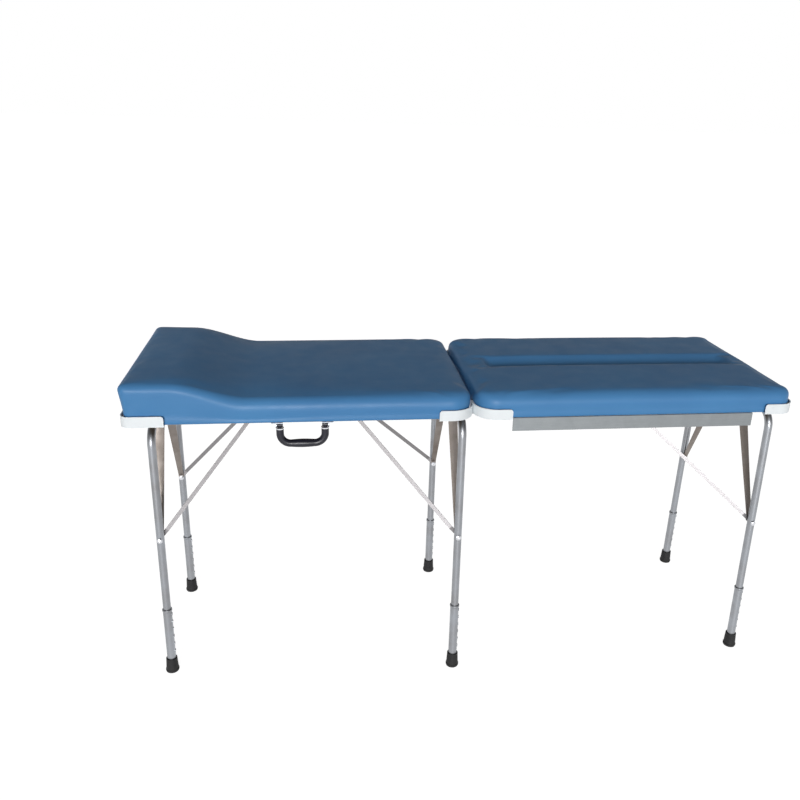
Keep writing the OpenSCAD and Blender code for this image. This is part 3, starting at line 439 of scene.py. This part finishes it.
def drawn_metal(name, colour, dull, along, rough=(0.26, 0.42), streaks=90.0):
    """Drawn or extruded metal: lines along one axis, clouded oxide and a few rubbed patches."""
    finish = material(name, colour, rough[0], 1.0)
    stretch = tuple(0.02 if axis == along else 1.0 for axis in "xyz")
    lines = noise(finish, place(finish, stretch), streaks * 14, 5.0, 0.7)
    clouds = noise(finish, place(finish), 16.0, 5.0, 0.6)
    tone = blend(finish, spread(finish, clouds, 0, 1, 0.35, 0.75), colour, dull)
    shade = tuple(0.8 * part for part in dull)
    link(finish, blend(finish, spread(finish, lines, 0, 0.45, 0.45, 0.8), tone, shade), "Base Color")
    cloudy = spread(finish, clouds, 0, rough[1] - rough[0])
    streaky = spread(finish, lines, rough[0], rough[0] + 0.08)
    link(finish, combine(finish, "ADD", cloudy, streaky), "Roughness")
    relief(finish, [(lines, 0.1, 0.0003)])
    return finish


def plated(name, colour, spot, rough=0.34):
    """Plated steel: mottled spangle cells of slightly different tone, and fine scratches."""
    finish = material(name, colour, rough, 1.0)
    where = place(finish)
    spangle = add(finish, "ShaderNodeTexVoronoi", Vector=where, Scale=240.0).outputs["Color"]
    grey = add(finish, "ShaderNodeRGBToBW", Color=spangle).outputs[0]
    link(finish, blend(finish, spread(finish, grey, 0, 0.7, 0.0, 1.0), colour, spot), "Base Color")
    scratch = noise(finish, place(finish, (1, 0.06, 1), (0.3, 0.2, 0.7)), 900.0, 3.0, 0.8)
    link(finish, spread(finish, scratch, rough - 0.06, rough + 0.14), "Roughness")
    relief(finish, [(noise(finish, where, 120.0), 0.06, 0.0004), (scratch, 0.05, 0.0002)])
    return finish


def moulded(name, colour, worn, rough=0.38, grain=0.12):
    """Moulded plastic: an eroded texture of fine noise, and paler handling marks."""
    finish = material(name, colour, rough, Specular_IOR_Level=0.45)
    where = place(finish)
    marks = noise(finish, where, 42.0, 6.0, 0.65)
    link(finish, blend(finish, spread(finish, marks, 0, 1, 0.5, 0.85), colour, worn), "Base Color")
    link(finish, spread(finish, noise(finish, where, 85.0, 4.0), rough - 0.06, rough + 0.12),
         "Roughness")
    relief(finish, [(noise(finish, where, 14.0, 2.0), 0.08, 0.001),
                    (noise(finish, where, 1500.0, 2.0), grain, 0.0002)])
    return finish


def rubber(name):
    """Moulded rubber: matt, with dust caught low down and a fine sandy grain."""
    dark, dust = (0.012, 0.012, 0.013), (0.07, 0.068, 0.064)
    finish = material(name, dark, 0.7, Specular_IOR_Level=0.35)
    where = place(finish)
    height = add(finish, "ShaderNodeSeparateXYZ", Vector=where).outputs["Z"]
    low = spread(finish, height, 0.7, 0.05, 0.0, 0.02)
    speck = spread(finish, noise(finish, where, 130.0, 6.0, 0.7), 0, 1, 0.4, 0.75)
    settled = combine(finish, "MULTIPLY", low, speck)
    link(finish, blend(finish, settled, dark, dust), "Base Color")
    link(finish, spread(finish, speck, 0.58, 0.8, 0.0, 1.0), "Roughness")
    relief(finish, [(noise(finish, where, 900.0, 3.0), 0.25, 0.0003)])
    return finish


def plywood(name):
    """Birch plywood: long grain along the table, and five plies that show as bands at the edge."""
    pale, brown, dark = (0.56, 0.42, 0.25), (0.42, 0.28, 0.15), (0.2, 0.11, 0.05)
    finish = material(name, pale, 0.6, Specular_IOR_Level=0.3)
    grain = noise(finish, place(finish, (0.6, 14.0, 1.0)), 14.0, 6.0, 0.6)
    fine = noise(finish, place(finish, (3.0, 160.0, 1.0)), 9.0, 3.0, 0.6)
    face = blend(finish, spread(finish, grain, 0, 1, 0.35, 0.7), pale, brown)
    face = blend(finish, spread(finish, fine, 0, 0.35, 0.55, 0.8), face, dark)
    height = add(finish, "ShaderNodeSeparateXYZ", Vector=place(finish)).outputs["Z"]
    ply = combine(finish, "PINGPONG", height, DECK_THICKNESS / PLIES)
    flat = add(finish, "ShaderNodeSeparateXYZ",
               Vector=add(finish, "ShaderNodeNewGeometry").outputs["Normal"]).outputs["Z"]
    upright = add(finish, "ShaderNodeMath", operation="ABSOLUTE")
    finish.node_tree.links.new(flat, upright.inputs[0])
    edge = blend(finish, spread(finish, ply, 0, 1, 0.0009, 0.0014), brown, pale)
    link(finish, blend(finish, spread(finish, upright.outputs[0], 0, 1), edge, face), "Base Color")
    relief(finish, [(grain, 0.15, 0.0004), (fine, 0.2, 0.0003)])
    return finish


blue_vinyl = vinyl("Blue satin vinyl", (0.068, 0.230, 0.470), (0.060, 0.205, 0.430))
finishes = {
    "vinyl": blue_vinyl,
    "plywood": plywood("Birch plywood"),
    "white_plastic": moulded("White corner plastic", (0.84, 0.88, 0.90), (0.79, 0.83, 0.86), 0.34),
    "satin_tube": drawn_metal("Satin leg tube", (0.36, 0.38, 0.41), (0.28, 0.28, 0.29), "z"),
    "strap_steel": drawn_metal("Dull strap steel", (0.29, 0.26, 0.24), (0.19, 0.16, 0.14), "z",
                               (0.36, 0.55)),
    "brace_steel": plated("Bright brace steel", (0.30, 0.29, 0.30), (0.25, 0.24, 0.24), 0.48),
    "rail_aluminium": drawn_metal("Mill finish rail", (0.27, 0.29, 0.30), (0.23, 0.245, 0.255), "x",
                                  (0.38, 0.52)),
    "zinc_plate": plated("Zinc plated fitting", (0.52, 0.54, 0.57), (0.40, 0.42, 0.46), 0.38),
    "bright_fasteners": plated("Bright plated fastener", (0.74, 0.75, 0.78), (0.62, 0.63, 0.66), 0.2),
    "handle_plastic": moulded("Black handle plastic", (0.006, 0.006, 0.014), (0.014, 0.014, 0.026),
                              0.34, 0.2),
    "rubber": rubber("Black foot rubber"),
}


def dress(node, finish):
    """Gives a node of the construction a finish in each of its material slots."""
    for slot in node.material_slots:
        slot.material = finish


for part in frame["record"]["subparts"]:
    dress(frame["nodes"][part["node"]], finishes[part["material_slot"]])

# Cushions

for name, body, ends, corners, head, hold in (
    ("left_pad_cover", "left_half", (-PAD_OUTER_X, -PAD_INNER_X), (HEAD_CORNER, INNER_CORNER), True,
     held_below),
    ("right_pad_cover", "right_half", (PAD_INNER_X, PAD_OUTER_X), (INNER_CORNER, FOOT_CORNER), False,
     held_channel),
):
    pad = inflate(pad_cover(name, *ends, *corners, head), SWELL_LIMIT, hold)
    pad.data.materials.append(blue_vinyl)
    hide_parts(body.replace("half", "cushion"))
    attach(pad, body)

# Floor, light and camera

FLOOR_GREY = 0.42
FLOOR_GLOW = 0.94
FLOOR_REACH = 60.0
SKY_FILL = 0.13
# Brightness of the sky in mirrored rays, and the heights it fades between
SKY_LOW, SKY_HIGH = 1.0, 0.22
FADE_START, FADE_END = 0.03, 0.3
# The camera fitted to the photograph, in pixels, degrees and metres
PHOTO_SIZE = 800.0
FOCAL_PIXELS = 796.2
CENTRE_PIXELS = (422.3, 404.6)
YAW, PITCH, ROLL = -8.14, 20.80, 1.82
CAMERA_PLACE = (-0.428, -2.246, 1.619)
SENSOR_WIDTH = 36.0
CLIP_END = 200.0


def stage_material(name):
    """A floor that takes shadows, and adds white light only to the camera's and mirrored rays."""
    finish = bpy.data.materials.new(name)
    finish.use_nodes = True
    nodes, links = finish.node_tree.nodes, finish.node_tree.links
    nodes.clear()
    diffuse = nodes.new("ShaderNodeBsdfDiffuse")
    diffuse.inputs["Color"].default_value = (FLOOR_GREY, FLOOR_GREY, FLOOR_GREY, 1)
    path = add(finish, "ShaderNodeLightPath").outputs
    seen = combine(finish, "MAXIMUM", path["Is Camera Ray"], path["Is Glossy Ray"])
    clear = combine(finish, "MAXIMUM", seen, path["Is Transmission Ray"])
    level = combine(finish, "MULTIPLY", clear, FLOOR_GLOW)
    glow = add(finish, "ShaderNodeEmission", Strength=level)
    both = nodes.new("ShaderNodeAddShader")
    links.new(diffuse.outputs[0], both.inputs[0])
    links.new(glow.outputs[0], both.inputs[1])
    output = nodes.new("ShaderNodeOutputMaterial")
    links.new(both.outputs[0], output.inputs["Surface"])
    return finish


def floor():
    """One large square at floor height."""
    corners = FLOOR_REACH * np.array([[-1.0, -1, 0], [1, -1, 0], [1, 1, 0], [-1, 1, 0]])
    piece = mesh_object("studio_floor", corners, np.array([[0, 1, 2, 3]]))
    piece.data.materials.append(stage_material("Pale studio floor"))


def studio_sky():
    """White to the camera; to mirrored rays white low down and dim above; soft fill to the rest."""
    sky = bpy.data.worlds.new("Studio")
    bpy.context.scene.world = sky
    sky.use_nodes = True
    nodes, links = sky.node_tree.nodes, sky.node_tree.links
    backdrop = nodes["Background"]
    backdrop.inputs["Color"].default_value = (1, 1, 1, 1)
    path = nodes.new("ShaderNodeLightPath")
    where = nodes.new("ShaderNodeSeparateXYZ")
    links.new(nodes.new("ShaderNodeTexCoord").outputs["Generated"], where.inputs[0])
    rise = nodes.new("ShaderNodeMapRange")
    links.new(where.outputs["Z"], rise.inputs["Value"])
    for socket, number in (("From Min", FADE_START), ("From Max", FADE_END), ("To Min", SKY_LOW),
                           ("To Max", SKY_HIGH)):
        rise.inputs[socket].default_value = number

    def choose(factor, plain, chosen):
        made = nodes.new("ShaderNodeMix")
        links.new(factor, made.inputs["Factor"])
        for socket, value in ((made.inputs[2], plain), (made.inputs[3], chosen)):
            if isinstance(value, bpy.types.NodeSocket):
                links.new(value, socket)
            else:
                socket.default_value = value
        return made.outputs[0]

    level = choose(path.outputs["Is Glossy Ray"], SKY_FILL, rise.outputs[0])
    level = choose(path.outputs["Is Transmission Ray"], level, 1.0)
    level = choose(path.outputs["Is Camera Ray"], level, 1.0)
    links.new(level, backdrop.inputs["Strength"])


def lamp(name, towards, strength, angle):
    """A soft distant lamp that shines along a direction. A lamp of this kind has no place."""
    light = bpy.data.lights.new(name, "SUN")
    light.energy = strength
    light.angle = angle
    piece = bpy.data.objects.new(name, light)
    piece.rotation_euler = Vector(towards).to_track_quat("-Z", "Y").to_euler()
    bpy.context.scene.collection.objects.link(piece)


def photo_camera():
    """The camera fitted to the photograph. It is turned about Z by yaw, down by pitch and about its
    own view by roll."""
    yaw, pitch, roll = np.radians((YAW, PITCH, ROLL))
    ahead = np.array([-np.sin(yaw), np.cos(yaw), 0.0])
    right = np.array([np.cos(yaw), np.sin(yaw), 0.0])
    up = np.array([0.0, 0.0, 1.0])
    ahead, up = (ahead * np.cos(pitch) - up * np.sin(pitch),
                 up * np.cos(pitch) + ahead * np.sin(pitch))
    right, up = (right * np.cos(roll) + up * np.sin(roll),
                 up * np.cos(roll) - right * np.sin(roll))
    data = bpy.data.cameras.new("Photo view")
    data.sensor_width = SENSOR_WIDTH
    data.lens = FOCAL_PIXELS / PHOTO_SIZE * SENSOR_WIDTH
    data.shift_x = (PHOTO_SIZE / 2 - CENTRE_PIXELS[0]) / PHOTO_SIZE
    data.shift_y = (CENTRE_PIXELS[1] - PHOTO_SIZE / 2) / PHOTO_SIZE
    data.clip_end = CLIP_END
    piece = bpy.data.objects.new("Photo view", data)
    turned = Matrix(np.column_stack([right, up, -ahead]).tolist()).to_4x4()
    turned.translation = Vector(CAMERA_PLACE)
    piece.matrix_world = turned
    bpy.context.scene.collection.objects.link(piece)
    bpy.context.scene.camera = piece


floor()
studio_sky()
lamp("Key light", (0.14, 0.95, -0.13), 3.1, np.radians(25))
lamp("Top light", (-0.5, 0.15, -1.0), 0.06, np.radians(60))
photo_camera()
bpy.context.scene.view_settings.view_transform = "Standard"
